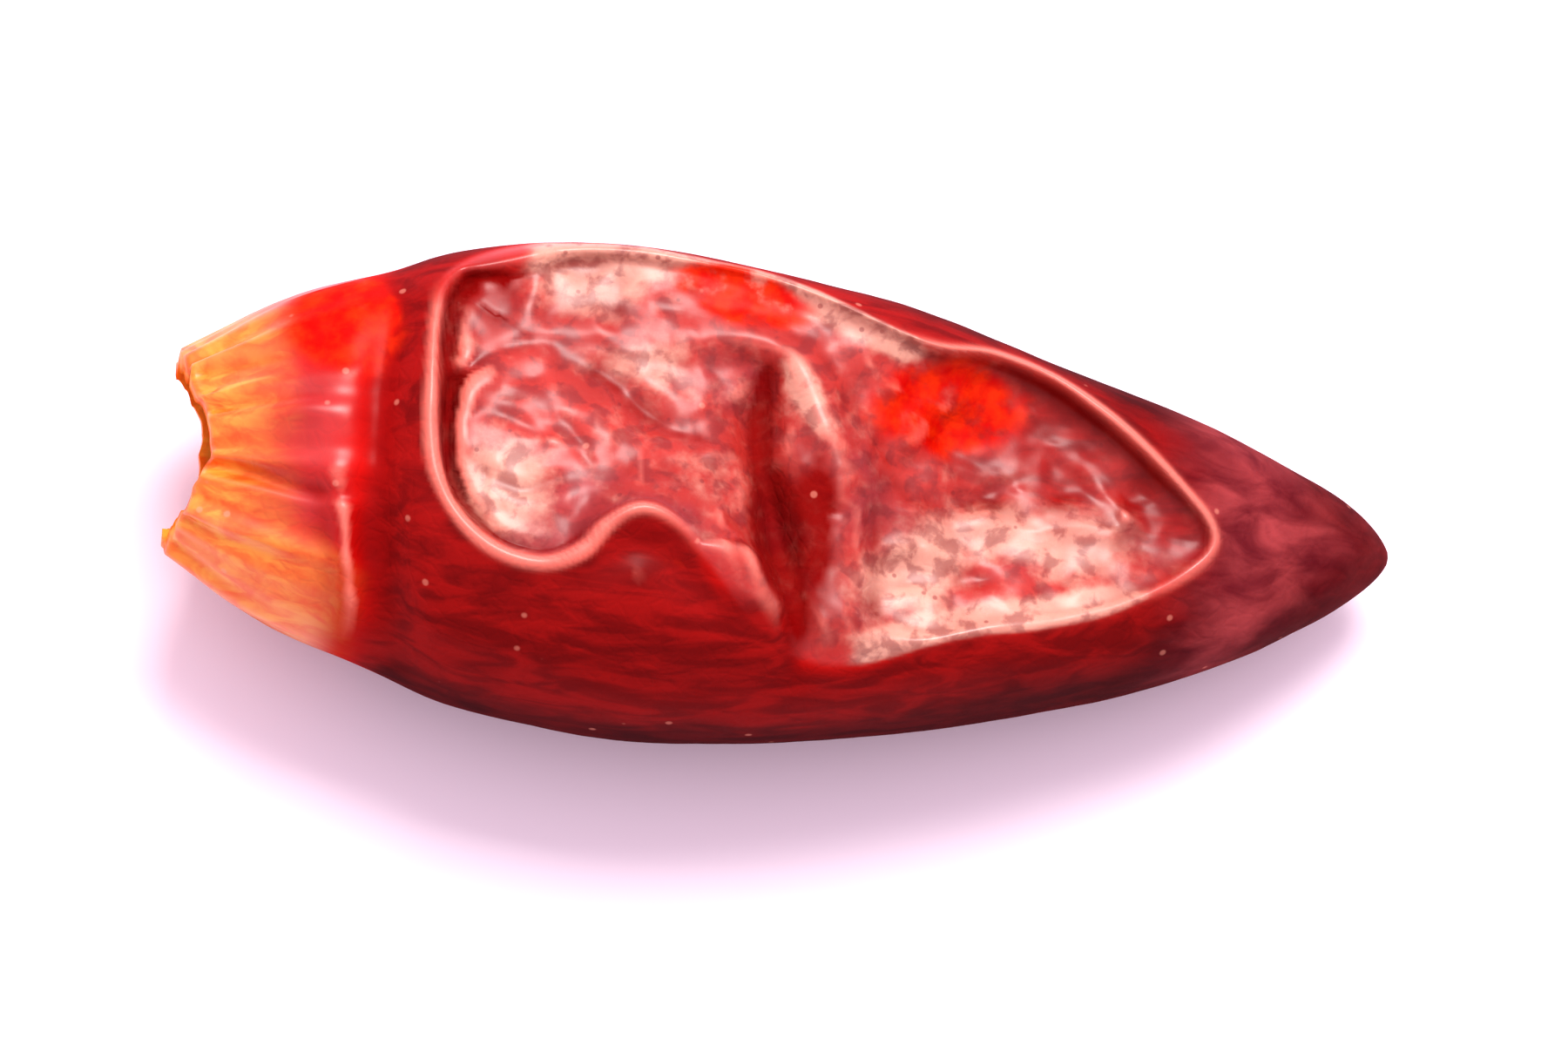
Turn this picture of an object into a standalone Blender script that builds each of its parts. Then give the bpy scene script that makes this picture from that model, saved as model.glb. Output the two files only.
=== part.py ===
"""A dried chilli pod, lying on its side: one hollow-ended, collapsed pod.

The frame has +X from the torn stem end to the tip, +Z up, and its origin under the middle of the
pod, on the surface that the pod rests on. A sphere's rings are carried along the pod: the first
rings fold in to make the open stem end, and the others follow the pod's outside to the tip.
"""

import bmesh
import bpy
import numpy as np

MM = 0.001

# Overall sizes
POD_LENGTH = 25.0 * MM
BELLY_WIDTH = 9.9 * MM
CROWN_HEIGHT = 3.9 * MM  # from the widest level of the belly up to the unsunk skin
KEEL_DEPTH = 3.45 * MM  # from the widest level of the belly down to the unpressed underside
UNDERSIDE_PRESS = 0.2 * MM  # how much of the keel is pressed flat where the pod rests

# Places along the pod, from the stem end
BELLY_AT = 9.5 * MM
COLLAR_LENGTH = 4.3 * MM
SADDLE_AT = 12.6 * MM

# The outline's fullness: 1 is a straight taper, 2 is an ellipse's quarter
SHOULDER_POWER = 2.2
TAPER_POWER = 1.53
TIP_BEND = 0.3 * MM  # how far the narrow half bows towards -Y
TIP_HEIGHT = 1.9 * MM  # height of the tip's point above the rest surface

# Section shape: 2 is an ellipse, more is squarer
ROUND_SECTION = 2.0
FAR_SQUARENESS = 1.2  # what the upper +Y quarter adds to ROUND_SECTION at the belly
LEAN = 0.12  # share by which the +Y shoulder sits lower than the -Y one

# The torn stem end
MOUTH_WIDTH = 3.9 * MM
MOUTH_HEIGHT = 2.7 * MM
MOUTH_CENTRE_HEIGHT = 3.5 * MM
MOUTH_DEPTH = 2.6 * MM
MOUTH_SCALLOP = 0.7 * MM  # how far the rim dips between its two side corners
SKIN_THICKNESS = 0.35 * MM

# The collapsed top
COLLAR_GROOVE_DEPTH = 0.45 * MM
COLLAR_GROOVE_WIDTH = 1.6 * MM
SADDLE_WIDTH = 1.2 * MM  # skin left standing between the two hollows
TIP_SOLID_LENGTH = 3.6 * MM  # uncollapsed skin at the tip
LEFT_FAR_RIM = 1.3 * MM  # standing skin between the left hollow and the +Y outline
LEFT_NEAR_RIM = 2.7 * MM  # the same on the -Y side
LEFT_HOLLOW_DEPTH = 1.5 * MM
RIGHT_FAR_RIM = 0.8 * MM
RIGHT_NEAR_RIM = 1.1 * MM
RIGHT_HOLLOW_DEPTH = 1.2 * MM
FOLD_HEIGHT = 0.3 * MM  # how far the creased edge of a hollow stands proud
FOLD_WIDTH = 0.25  # half-width of that crease, as a share of the hollow's own size

# Mesh density
SIDES = 56
RINGS = 54
MOUTH_RINGS = 9
RING_CROWDING = 1.35  # above 1 draws the rings together towards the tip


def swelling(along, end_size, belly_size):
    """Half-size of the pod: a shoulder curve up to the belly, then a rounded taper to the tip."""
    before = np.clip(1.0 - along / BELLY_AT, 0.0, 1.0)
    after = np.clip((along - BELLY_AT) / (POD_LENGTH - BELLY_AT), 0.0, 1.0)
    shoulder = end_size + (belly_size - end_size) * (1.0 - before**SHOULDER_POWER)
    taper = belly_size * (1.0 - after**TAPER_POWER) ** (1.0 / TAPER_POWER)
    return np.where(along < BELLY_AT, shoulder, taper)


def level(along):
    """Height of the pod's widest level: it rises or falls from the belly's to each end's."""
    belly = KEEL_DEPTH - UNDERSIDE_PRESS
    before = np.clip(1.0 - along / BELLY_AT, 0.0, 1.0)
    after = np.clip((along - BELLY_AT) / (POD_LENGTH - BELLY_AT), 0.0, 1.0)
    return belly + (MOUTH_CENTRE_HEIGHT - belly) * before**2 + (TIP_HEIGHT - belly) * after**2


def bend(along):
    """Sideways place of the pod's middle line."""
    return -TIP_BEND * np.sin(np.pi * np.clip(along / POD_LENGTH, 0.0, 1.0) ** 2.2)


def section(along, angle):
    """Offsets (y, z) from the middle line of the skin, at each angle round from +Y over the top."""
    across, rise = np.cos(angle), np.sin(angle)
    half_width = swelling(along, MOUTH_WIDTH / 2, BELLY_WIDTH / 2)
    crown = swelling(along, MOUTH_HEIGHT / 2, CROWN_HEIGHT)
    keel = swelling(along, MOUTH_HEIGHT / 2, KEEL_DEPTH)
    half_height = np.where(rise > 0, crown, keel)
    fullness = (half_width / (BELLY_WIDTH / 2)) ** 2
    power = ROUND_SECTION + FAR_SQUARENESS * fullness * ((rise > 0) & (across > 0))
    tiny = 1e-9
    radius = (
        (np.abs(across) / (half_width + tiny)) ** power
        + (np.abs(rise) / (half_height + tiny)) ** power
    ) ** (-1.0 / power)
    lean = np.where(rise > 0, 1.0 - LEAN * fullness * across, 1.0)
    return radius * across, radius * rise * lean


def hollow(along, across, ends, rims, depth):
    """Sunk oval between two places along the pod, with a creased edge that stands proud.

    The ends are its places along the pod, and the rims are the widths of the standing skin that
    is left between it and the outline, first on the +Y side and then on the -Y side.
    """
    middle = (ends[0] + ends[1]) / 2
    half_width = swelling(np.array(middle), MOUTH_WIDTH / 2, BELLY_WIDTH / 2)
    far_edge = half_width - rims[0]
    near_edge = rims[1] - half_width
    share = np.hypot(
        (along - middle) / ((ends[1] - ends[0]) / 2),
        (across - (far_edge + near_edge) / 2) / ((far_edge - near_edge) / 2),
    )
    sunk = depth * np.clip(1.0 - share**2, 0.0, 1.0)
    crease = FOLD_HEIGHT * np.exp(-(((share - 1.0) / FOLD_WIDTH) ** 2))
    return crease - sunk


def relief(along, across):
    """Height that the collapsed top adds to the full skin."""
    left_ends = (COLLAR_LENGTH + COLLAR_GROOVE_WIDTH / 2, SADDLE_AT - SADDLE_WIDTH / 2)
    right_ends = (SADDLE_AT + SADDLE_WIDTH / 2, POD_LENGTH - TIP_SOLID_LENGTH)
    left_rims = (LEFT_FAR_RIM, LEFT_NEAR_RIM)
    right_rims = (RIGHT_FAR_RIM, RIGHT_NEAR_RIM)
    left = hollow(along, across, left_ends, left_rims, LEFT_HOLLOW_DEPTH)
    right = hollow(along, across, right_ends, right_rims, RIGHT_HOLLOW_DEPTH)
    groove = (along - COLLAR_LENGTH) / (COLLAR_GROOVE_WIDTH / 2)
    return left + right - COLLAR_GROOVE_DEPTH * np.exp(-(groove**2))


def outside(share, angle):
    """Points of the skin, from the rim of the mouth (share 0) to the tip (share 1)."""
    rim = MOUTH_SCALLOP * np.sin(angle) ** 2
    along = rim + (POD_LENGTH - rim) * (1.0 - (1.0 - share) ** RING_CROWDING)
    across, rise = section(along, angle)
    on_top = np.clip(np.sin(angle) / 0.35, 0.0, 1.0)
    rise = rise + relief(along, across) * on_top**2
    height = np.maximum(level(along) + rise, 0.0)
    return np.stack([along, across + bend(along), height], axis=-1)


def inside(share, angle):
    """Points of the open stem end: a bowl from its floor (share 0) to its inner rim (share 1)."""
    turn = np.pi / 2 * share
    rim = MOUTH_SCALLOP * np.sin(angle) ** 2
    half_width = MOUTH_WIDTH / 2 - SKIN_THICKNESS
    half_height = MOUTH_HEIGHT / 2 - SKIN_THICKNESS
    along = rim * share + MOUTH_DEPTH * np.cos(turn)
    across = half_width * np.cos(angle) * np.sin(turn)
    height = MOUTH_CENTRE_HEIGHT + half_height * np.sin(angle) * np.sin(turn)
    return np.stack([along, across, height], axis=-1)


def pod_points(sphere):
    """Places on the pod for the points of a unit sphere whose poles are on Z."""
    ring = np.rint(np.arccos(np.clip(sphere[:, 2], -1.0, 1.0)) / np.pi * RINGS)
    angle = -np.arctan2(sphere[:, 1], sphere[:, 0])
    in_mouth = ring <= MOUTH_RINGS
    mouth_share = np.clip(ring / MOUTH_RINGS, 0.0, 1.0)
    skin_share = np.clip((ring - MOUTH_RINGS - 1) / (RINGS - MOUTH_RINGS - 1), 0.0, 1.0)
    points = np.where(in_mouth[:, None], inside(mouth_share, angle), outside(skin_share, angle))
    low, high = points.min(axis=0), points.max(axis=0)
    return points - [(low[0] + high[0]) / 2, (low[1] + high[1]) / 2, low[2]]


def make_pod(collection):
    """The pod's object: a sphere's rings, moved to their places on the pod."""
    shape = bmesh.new()
    bmesh.ops.create_uvsphere(shape, u_segments=SIDES, v_segments=RINGS, radius=1.0)
    mesh = bpy.data.meshes.new("chilli_pod")
    shape.to_mesh(mesh)
    shape.free()
    sphere = np.empty(len(mesh.vertices) * 3)
    mesh.vertices.foreach_get("co", sphere)
    mesh.vertices.foreach_set("co", pod_points(sphere.reshape(-1, 3)).ravel())
    mesh.shade_smooth()
    pod = bpy.data.objects.new("chilli_pod", mesh)
    collection.objects.link(pod)
    return pod


def dried_skin():
    """Deep red, half-gloss dried skin."""
    skin = bpy.data.materials.new("dried_skin")
    skin.use_nodes = True
    shader = skin.node_tree.nodes["Principled BSDF"]
    shader.inputs["Base Color"].default_value = (0.45, 0.02, 0.015, 1.0)
    shader.inputs["Roughness"].default_value = 0.32
    shader.inputs["Metallic"].default_value = 0.0
    return skin


def main():
    """Clears the scene and makes the pod."""
    for thing in list(bpy.data.objects):
        bpy.data.objects.remove(thing, do_unlink=True)
    collection = bpy.data.collections.new("dried_chilli_pepper")
    bpy.context.scene.collection.children.link(collection)
    pod = make_pod(collection)
    pod.data.materials.append(dried_skin())


main()
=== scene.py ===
"""A dried chilli pod lying on a pale floor: glossy, collapsed and creased, open at its torn stem end.

Lengths inside the pod's own classes are in millimetres, measured along the pod from its stem end,
across it (positive towards +Y) and up from the floor. They become metres when the mesh is made.
"""

import itertools
import logging
import math
from dataclasses import dataclass
from enum import Enum

import bpy
import numpy as np
from mathutils import Matrix, Vector


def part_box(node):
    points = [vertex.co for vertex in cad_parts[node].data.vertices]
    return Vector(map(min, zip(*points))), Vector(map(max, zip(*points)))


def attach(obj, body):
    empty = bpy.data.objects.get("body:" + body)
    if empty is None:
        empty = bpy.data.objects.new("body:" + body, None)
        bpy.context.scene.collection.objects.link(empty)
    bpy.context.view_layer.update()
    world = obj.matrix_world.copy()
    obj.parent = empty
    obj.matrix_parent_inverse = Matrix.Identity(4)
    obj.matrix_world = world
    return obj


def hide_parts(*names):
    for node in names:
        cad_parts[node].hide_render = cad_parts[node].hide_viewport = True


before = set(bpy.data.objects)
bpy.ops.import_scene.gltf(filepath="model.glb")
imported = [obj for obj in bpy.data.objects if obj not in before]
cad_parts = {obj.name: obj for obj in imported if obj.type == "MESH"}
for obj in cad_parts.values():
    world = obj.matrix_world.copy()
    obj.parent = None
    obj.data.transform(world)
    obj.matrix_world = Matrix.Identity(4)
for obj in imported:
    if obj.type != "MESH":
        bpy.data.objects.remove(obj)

LOG = logging.getLogger("chilli")
MM = 0.001
HALVINGS = 30
FAR_OUTSIDE = -9.0
TINY = 1e-12
SLIGHT = 1e-6
POD_NODE = "chilli_pod"
Array = np.ndarray


class Zone(Enum):
    """The masks, from 0 to 1, that the pod's mesh carries for its finish."""

    COLLAR = "collar"
    FLESH = "flesh"
    # painted shade: the walls outside the rim, darker lower on the flanks and on the underside
    WALL = "wall"
    TIP = "tip"
    # painted highlight along crests and lips
    CREST_HIGHLIGHT = "crest_highlight"
    # painted shade in creases, furrows, steep walls and the open mouth
    PAINTED_SHADE = "painted_shade"
    # painted glow, of light shining through the thin skin
    GLOW = "glow"
    # pale skin, partly painted sheen
    PALE = "pale"
    # the sunk floors: a painted sheen lightens them, and patches and dots lie on them
    SHEEN = "sheen"
    GLOSS = "gloss"


# Shape helpers: every one works on whole arrays


def smoothstep(low: float, high: float, value: Array) -> Array:
    """Ramp from 0 at low to 1 at high with level ends: 3t squared less 2t cubed."""
    share = np.clip((value - low) / (high - low), 0.0, 1.0)
    return share * share * (3.0 - 2.0 * share)


def window(value: Array, start: float, full: float, last: float, end: float) -> Array:
    """Ramp from 0 at start to 1 at full, and back from 1 at last to 0 at end."""
    return smoothstep(start, full, value) * smoothstep(end, last, value)


def bell(distance: Array, width: float) -> Array:
    """Bell curve: the exponential of minus the square of distance over width."""
    return np.exp(-((distance / width) ** 2))


def smooth_line(points: tuple, closed: bool, per_span: int = 8) -> Array:
    """Draws a smooth line through points.

    Formula: between two neighbours the line is a cubic whose end slopes are half the
    difference of the points on either side (a Catmull-Rom spline).

    Args:
        points: rows of numbers, one row for each point the line passes through.
        closed: whether the last point joins the first.
        per_span: how many samples each span between two points gets.

    Returns:
        The samples, one row each.
    """
    rows = np.array(points, float)
    if closed:
        before, after, beyond = np.roll(rows, 1, 0), np.roll(rows, -1, 0), np.roll(rows, -2, 0)
        start = rows
    else:
        padded = np.vstack([2 * rows[0] - rows[1], rows, 2 * rows[-1] - rows[-2]])
        before, start, after, beyond = padded[:-3], padded[1:-2], padded[2:-1], padded[3:]
    step = (np.arange(per_span) / per_span)[None, :, None]
    before, start, after, beyond = (part[:, None, :] for part in (before, start, after, beyond))
    line = 0.5 * (
        2 * start
        + (after - before) * step
        + (2 * before - 5 * start + 4 * after - beyond) * step**2
        + (3 * start - before - 3 * after + beyond) * step**3
    )
    line = line.reshape(-1, rows.shape[1])
    return line if closed else np.vstack([line, rows[-1]])


@dataclass(frozen=True)
class Nearness:
    """How a set of places lies to a line: the distance, and the line's own values there."""

    distance: Array
    values: Array


def nearness(along: Array, across: Array, line: Array, closed: bool) -> Nearness:
    """Finds the nearest point of a line for every place.

    Formula: each place is dropped square on to every straight piece of the line, and the
    nearest foot wins.

    Args:
        along, across: places in plan.
        line: rows of along, across and any further values.
        closed: whether the last sample joins the first.

    Returns:
        The distance, and the line's values at the foot.
    """
    ends = np.roll(line, -1, 0) if closed else line[1:]
    starts = line if closed else line[:-1]
    run = ends[:, :2] - starts[:, :2]
    length_squared = (run**2).sum(1) + TINY
    best = np.full(along.shape, np.inf)
    values = np.zeros((*along.shape, line.shape[1] - 2))
    for start, end, step, squared in zip(starts, ends, run, length_squared):
        to_along, to_across = along - start[0], across - start[1]
        share = np.clip((to_along * step[0] + to_across * step[1]) / squared, 0.0, 1.0)
        distance = np.hypot(to_along - share * step[0], to_across - share * step[1])
        nearer = distance < best
        best = np.where(nearer, distance, best)
        here = start[2:] + share[..., None] * (end[2:] - start[2:])
        values = np.where(nearer[..., None], here, values)
    return Nearness(best, values)


def waves(parts: tuple, angle: Array) -> Array:
    """Sum of sine waves round the pod, each given as its count, size and phase."""
    return sum(size * np.sin(count * angle + phase) for count, size, phase in parts)


def lattice_noise(points: Array, cell: float, seed: int) -> Array:
    """Smooth random field in space.

    Formula: a cubic lattice holds random values between -1 and 1, and each point takes a
    smoothstep blend of the eight around it.

    Args:
        points: places, with x, y and z on the last axis.
        cell: size of a lattice cell.
        seed: start of the random values.

    Returns:
        A value between -1 and 1 for each place.
    """
    span = 32
    values = np.random.default_rng(seed).uniform(-1.0, 1.0, (span,) * 3)
    scaled = points / cell + span * 8
    corner = np.floor(scaled).astype(int)
    share = scaled - corner
    share = share * share * (3.0 - 2.0 * share)
    total = np.zeros(points.shape[:-1])
    for step in itertools.product((0, 1), repeat=3):
        weight = np.prod(np.where(np.array(step) == 1, share, 1.0 - share), axis=-1)
        index = (corner + step) % span
        total += weight * values[index[..., 0], index[..., 1], index[..., 2]]
    return total


def octaves(points: Array, layers: tuple) -> Array:
    """Sum of smooth random fields, each given as its height, cell and seed."""
    return sum(height * lattice_noise(points, cell, seed) for height, cell, seed in layers)


def grid_blur(field: Array, rounds: int) -> Array:
    """Softens a field on the pod's grid: each round averages a point with its four neighbours."""
    for _ in range(rounds):
        ringed = np.concatenate([field[:1], field, field[-1:]])
        field = (
            2 * field
            + ringed[:-2]
            + ringed[2:]
            + np.roll(field, 1, 1)
            + np.roll(field, -1, 1)
        ) / 6.0
    return field


def grid_normals(points: Array) -> Array:
    """Outward unit normals on the pod's grid: the cross product of its two directions."""
    around = np.roll(points, -1, 1) - np.roll(points, 1, 1)
    forward = np.gradient(points, axis=0)
    normal = np.cross(around, forward)
    return normal / (np.linalg.norm(normal, axis=-1, keepdims=True) + TINY)


# The pod


@dataclass(frozen=True)
class Crease:
    """A fold line in the skin: a ridge, or a furrow where its height is negative.

    Each point is (along, across, strength); the strength multiplies the height.
    """

    points: tuple
    height: float
    half_width: float

    def relief(self, along: Array, across: Array) -> Array:
        """Height to add at each place: a bell curve of the distance from the line."""
        near = nearness(along, across, smooth_line(self.points, False), False)
        return self.height * near.values[..., 0] * bell(near.distance, self.half_width)


@dataclass(frozen=True)
class Bulge:
    """A smooth oval rise or dent in the top: (1 - r squared) squared, times its height."""

    along: float
    across: float
    half_length: float
    half_width: float
    height: float
    turn: float = 0.0

    def shape(self, along: Array, across: Array) -> Array:
        """Height to add at each place, from the oval's own radius r, which is 1 on its edge."""
        cosine, sine = math.cos(self.turn), math.sin(self.turn)
        x, y = along - self.along, across - self.across
        forward = (cosine * x + sine * y) / self.half_length
        sideways = (cosine * y - sine * x) / self.half_width
        return self.height * np.clip(1.0 - forward**2 - sideways**2, 0.0, 1.0) ** 2


@dataclass(frozen=True)
class CollapsedTop:
    """The sunk upper face: a rim, the sheet of skin that sags inside it, and its folds.

    The rim's points are (along, across, lip, wall): how strongly the lip stands up, and how far
    in the skin takes to drop. The floor's spots are (along, across, level), with the level
    measured from a film that spans the rim.
    """

    rim: tuple = (
        (5.3, 3.75, 0.2, 0.4), (5.12, 2.9, 1.0, 0.22), (5.08, 1.9, 1.1, 0.18),
        (5.1, 0.6, 1.1, 0.18), (5.35, -0.55, 1.0, 0.2), (5.9, -1.4, 1.0, 0.25),
        (6.65, -1.93, 1.0, 0.3), (7.55, -2.1, 1.0, 0.3), (8.3, -1.8, 1.0, 0.25),
        (8.8, -1.2, 1.0, 0.22), (9.45, -0.85, 0.9, 0.25), (10.15, -1.1, 0.4, 0.5),
        (10.9, -1.85, 0.0, 1.0), (11.8, -2.75, 0.0, 1.2), (12.9, -3.45, 0.0, 1.2),
        (14.0, -3.45, 0.05, 1.0), (15.3, -3.0, 0.16, 0.5), (16.6, -2.6, 0.17, 0.4),
        (18.0, -2.3, 0.18, 0.4), (19.3, -1.85, 0.25, 0.4), (20.5, -1.15, 0.4, 0.3),
        (21.15, -0.5, 0.6, 0.3), (21.1, 0.1, 0.9, 0.3), (20.3, 0.9, 1.4, 0.25),
        (19.4, 1.68, 1.4, 0.25), (18.6, 2.25, 1.4, 0.25), (17.6, 2.82, 1.4, 0.25),
        (16.4, 3.15, 1.3, 0.25), (15.3, 3.14, 0.9, 0.3), (14.2, 3.5, 0.35, 0.5),
        (12.9, 4.02, 0.2, 0.6), (11.6, 4.36, 0.17, 0.6), (10.2, 4.57, 0.16, 0.6),
        (8.6, 4.68, 0.16, 0.6), (7.2, 4.6, 0.14, 0.6), (6.1, 4.3, 0.1, 0.6),
    )
    floor: tuple = (
        # the pillow inside the stem-side rim
        (5.7, 0.7, -0.3), (5.9, -0.5, -0.32), (6.5, -1.25, -0.3), (7.4, -1.45, -0.3),
        (8.2, -1.1, -0.35), (6.2, 1.5, -0.3), (6.9, 2.1, -0.34), (6.6, 0.5, -0.2),
        (7.3, 1.2, -0.2), (7.5, 0.1, -0.14), (6.9, -0.6, -0.2), (7.8, -0.7, -0.22),
        (8.4, 0.6, -0.22),
        # the floor between the pillow and the furrow
        (7.9, 2.2, -0.36), (8.7, 2.0, -0.42), (9.6, 2.1, -0.38), (9.5, 1.2, -0.55),
        (9.2, 0.2, -0.35), (9.2, -0.4, -0.25), (10.3, 0.9, -0.5), (10.3, 0.1, -0.4),
        (10.6, 1.9, -0.38), (11.2, 0.2, -0.5), (11.3, 1.3, -0.55), (11.3, 2.1, -0.42),
        # the shelf along the far side, and its shaded end
        (5.7, 2.7, -0.5), (6.2, 3.0, -0.45), (5.9, 3.7, -0.45), (6.5, 3.7, -0.4),
        (7.5, 3.2, -0.3), (8.6, 3.3, -0.28), (10.0, 3.3, -0.25), (11.3, 3.4, -0.2),
        (7.9, 3.9, -0.22), (10.0, 3.9, -0.2), (12.0, 3.6, -0.15), (13.6, 2.9, -0.15),
        (14.0, 2.2, -0.25),
        # the slope that runs out on the near wall
        (10.1, -0.8, -0.25), (11.0, -1.3, -0.1), (12.0, -2.6, 0.0), (11.5, -0.6, -0.4),
        # the fold between the hollows
        (12.6, 2.2, 0.0), (13.1, 1.2, 0.05), (13.4, 0.2, 0.0), (13.5, -1.0, -0.05),
        (13.4, -2.4, 0.0),
        # the tip-side hollow, in two steps that rise to the near side
        (14.8, 1.5, -0.5), (15.1, 0.6, -0.75), (14.7, -0.6, -0.4), (14.8, -1.5, -0.5),
        (15.0, -2.3, -0.2), (15.4, 2.3, -0.6), (15.8, 1.4, -0.95), (16.4, 0.5, -0.95),
        (16.5, -0.4, -0.5), (16.4, -1.3, -0.55), (16.8, -2.0, -0.2), (17.6, 1.7, -0.85),
        (18.0, 0.7, -0.85), (18.2, -0.2, -0.5), (18.2, -1.2, -0.45), (18.6, -1.7, -0.2),
        (19.4, 0.8, -0.65), (19.6, -0.2, -0.45), (19.6, -1.1, -0.3), (20.4, -0.2, -0.4),
    )
    lip: float = 0.095
    lip_inner: float = 0.10
    lip_outer: float = 0.12
    firm_lip: float = 6.0  # a lip this many times under full strength already holds its edge
    firm_drop: float = 0.1  # how far in from a firm edge the full skin gives way
    soft_drop: float = 1.3  # how much farther where the edge is not firm
    line_softness: float = 0.15
    film_softness: float = 0.02
    floor_softness: float = 0.12
    creases: tuple = (
        # the trench round the pillow, and the one behind the rim's far end
        Crease(((8.3, -1.55, 0.1), (7.6, -1.85, 0.2), (6.7, -1.68, 0.3), (6.05, -1.15, 0.5),
                (5.62, -0.45, 0.9), (5.46, 0.3, 1.0), (5.46, 1.0, 1.0), (5.62, 1.6, 0.7),
                (6.1, 2.1, 0.2), (6.8, 2.45, 0.15), (7.5, 2.6, 0.1)), -0.5, 0.18),
        Crease(((5.7, 3.6, 0.5), (5.45, 3.2, 0.9), (5.38, 2.5, 1.0), (5.42, 1.7, 0.8),
                (5.5, 1.1, 0.2)), -0.45, 0.22),
        # the upright fold that ends the shelf
        Crease(((6.75, 2.9, 0.4), (7.0, 3.5, 1.0), (7.1, 4.0, 1.0), (7.1, 4.5, 0.3)), 0.14, 0.28),
        # the crest that bounds the pillow and then parts the two hollows
        Crease(((6.3, 2.0, 0.0), (7.2, 2.55, 0.3), (8.4, 2.8, 0.5), (9.8, 2.8, 0.5),
                (11.2, 2.95, 1.0), (12.15, 2.68, 1.5), (12.75, 2.0, 1.6), (13.2, 1.1, 1.5),
                (13.5, 0.2, 1.2), (13.6, -0.9, 1.0), (13.6, -2.2, 0.8), (13.4, -3.4, 0.3)),
               0.16, 0.40),
        # the furrow beside it
        Crease(((11.95, 2.4, 0.4), (11.75, 1.4, 0.7), (11.8, 0.5, 0.7), (12.1, -0.5, 1.2),
                (12.35, -1.5, 1.2), (12.7, -2.6, 0.7), (12.8, -3.6, 0.2)), -0.58, 0.36),
        # small folds on the floors of the hollows
        Crease(((7.7, 2.3, 0.4), (8.6, 1.9, 1.0), (9.5, 1.2, 1.0), (10.5, 0.6, 0.5)),
               -0.16, 0.32),
        Crease(((10.2, 0.62, 0.4), (10.8, 0.52, 1.0), (11.4, 0.45, 0.4)), 0.1, 0.18),
        Crease(((7.0, 1.9, 0.3), (7.6, 1.1, 1.0), (8.3, 0.2, 0.8), (8.6, -0.5, 0.3)),
               -0.07, 0.20),
        Crease(((5.9, 0.9, 0.3), (6.7, 0.9, 1.0), (7.3, 0.5, 0.5)), -0.07, 0.18),
        Crease(((6.3, -0.3, 0.4), (7.0, -0.6, 1.0), (7.7, -0.3, 0.6)), -0.06, 0.18),
        Crease(((13.7, 0.55, 0.4), (14.8, 0.4, 1.0), (16.2, 0.55, 1.0), (17.3, 0.9, 0.4)),
               0.07, 0.25),
        Crease(((13.95, -2.9, 0.5), (14.0, -1.9, 1.0), (14.4, -1.15, 1.0), (15.4, -0.98, 1.0),
                (16.8, -1.3, 0.7), (18.2, -1.55, 0.3)), 0.1, 0.24),
        Crease(((17.6, 1.6, 0.3), (18.6, 0.9, 1.0), (19.6, 0.0, 1.0), (20.2, -0.6, 0.4)),
               0.05, 0.22),
    )

    def field(
        self, along: Array, across: Array, full: Array, rim_height
    ) -> tuple[Array, dict]:
        """Works out the collapsed face.

        Formula: inside the rim the full skin gives way to a film that spans the rim, which
        takes the rim's heights weighted by one over distance squared. The skin lies off the
        film by the floor's level, weighted by one over distance to the fourth power, times
        1 - exp(-d / wall). The folds are added, and a lip at the rim. Where the rim has no lip,
        the full skin runs on inwards and gives way slowly.

        Args:
            along, across: places in plan.
            full: height of the skin at each place, before it collapsed.
            rim_height: function of along and across that gives the rim's own heights.

        Returns:
            The change of height, and three fields: the signed distance inside the rim, how
            firm its edge is, and how strong the nearest lip is.
        """
        line = smooth_line(self.rim, True, 5)
        near = nearness(along, across, line, True)
        lip, wall = near.values[..., 0], near.values[..., 1]
        inside = inside_outline(along, across, line)
        depth = np.where(inside, near.distance, -near.distance)
        held = np.clip(depth, 0.0, None)
        lips = spread(along, across, line[:, :3], 2.0, self.line_softness)
        edge = np.clip(self.firm_lip * lips, 0.0, 1.0)
        rim_spots = np.column_stack([line[:, :2], rim_height(line[:, 0], line[:, 1])])
        film = spread(along, across, rim_spots, 1.0, self.film_softness)
        level = spread(along, across, np.array(self.floor), 2.0, self.floor_softness)
        film += level * (1.0 - np.exp(-held / wall))
        share = 1.0 - bell(held, self.firm_drop + self.soft_drop * (1.0 - edge))
        change = (film - full) * share
        change += sum(crease.relief(along, across) for crease in self.creases)
        reach = np.where(inside, self.lip_inner, self.lip_outer)
        change += self.lip * lip * bell(near.distance, reach)
        return change, {"inside": depth, "edge": edge, "lip": lip}


def spread(
    along: Array, across: Array, spots: Array, power: float, softness: float
) -> Array:
    """Spreads the spots' values over every place.

    Formula: each place takes the average of the values, weighted by one over (distance
    squared plus the softness), to the power.

    Args:
        along, across: places in plan.
        spots: rows of along, across and value.
        power: how quickly a spot's weight falls with distance.
        softness: area round a spot that it holds level, in square millimetres.

    Returns:
        The value at each place.
    """
    weights = np.zeros(along.shape)
    total = np.zeros(along.shape)
    for spot_along, spot_across, value in spots:
        squared = (along - spot_along) ** 2 + (across - spot_across) ** 2 + softness
        weight = squared**-power
        weights += weight
        total += weight * value
    return total / weights


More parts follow.
